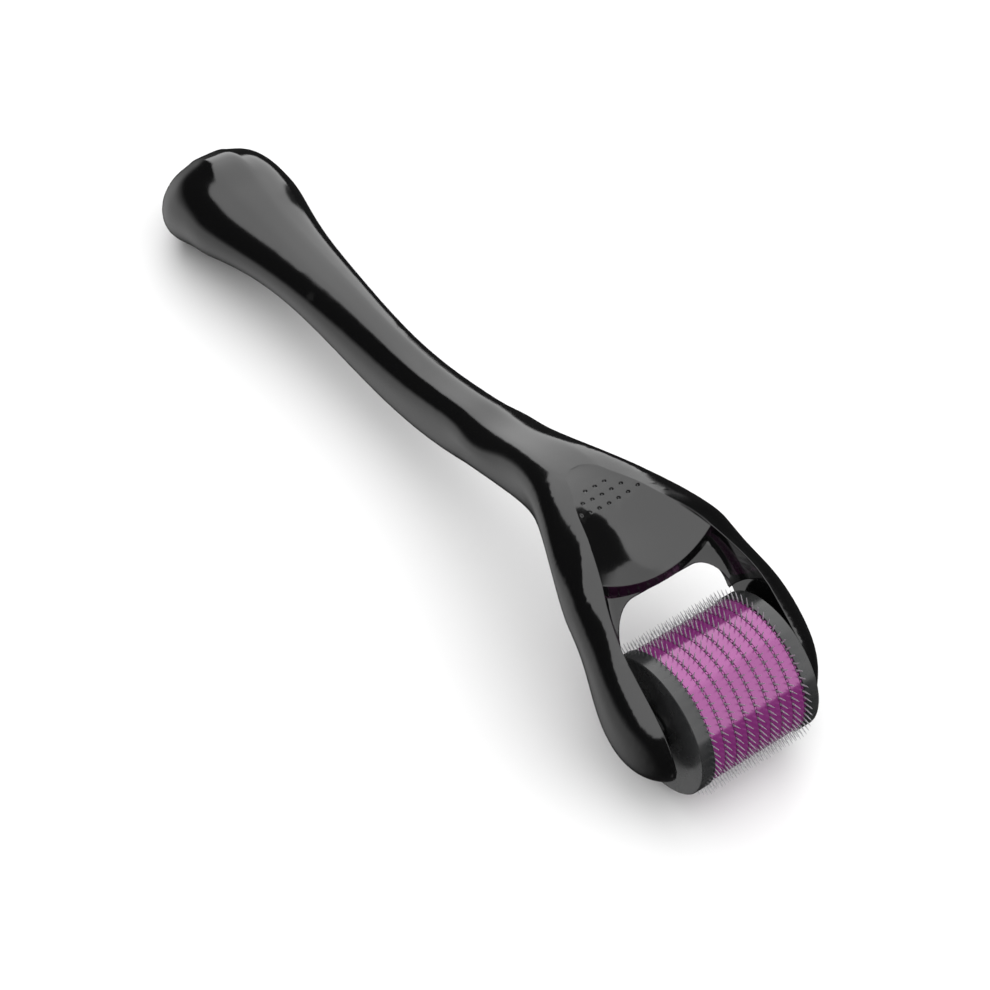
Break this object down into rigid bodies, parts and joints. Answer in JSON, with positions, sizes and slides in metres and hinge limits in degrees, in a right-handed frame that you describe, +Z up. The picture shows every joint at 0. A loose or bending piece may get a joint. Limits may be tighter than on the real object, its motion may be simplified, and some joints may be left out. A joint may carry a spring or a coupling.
{
  "type": "derma roller",
  "caption": "Hand-held micro-needle roller: a spinning drum of thin needle discs and spacer rings in a forked, waisted handle with a thumb dish.",
  "frame": {"origin": "on the floor under the middle of the length, on the mirror plane", "axes": "X across the roller along the axle, +Y along the length from the drum to the butt, +Z up, as the roller lies on a table"},
  "size_m": [0.0318, 0.1436, 0.0283],
  "materials": {
    "black_moulding": "polished glossy black moulding",
    "cap_plastic": "glossy black",
    "core_plastic": "dark magenta purple",
    "purple_plastic": "glossy magenta purple",
    "needle_steel": "fine stainless steel",
    "axle_steel": "ground steel pin"
  },
  "bodies": {
    "handle": {"handle": "black_moulding", "axle": "axle_steel"},
    "drum": {"drum_core": "core_plastic", "end_cap_left": "cap_plastic", "end_cap_right": "cap_plastic", "needle_disc_1": "needle_steel", "needle_disc_2": "needle_steel", "needle_disc_3": "needle_steel", "needle_disc_4": "needle_steel", "needle_disc_5": "needle_steel", "needle_disc_6": "needle_steel", "needle_disc_7": "needle_steel", "needle_disc_8": "needle_steel", "needle_disc_9": "needle_steel", "spacer_ring_1": "purple_plastic", "spacer_ring_2": "purple_plastic", "spacer_ring_3": "purple_plastic", "spacer_ring_4": "purple_plastic", "spacer_ring_5": "purple_plastic", "spacer_ring_6": "purple_plastic", "spacer_ring_7": "purple_plastic", "spacer_ring_8": "purple_plastic"}
  },
  "joints": [
    {"name": "drum_spin", "type": "hinge", "parent": "handle", "child": "drum", "pos_m": [0, -0.0604, 0.0114], "axis": [1, 0, 0], "continuous": true}
  ]
}
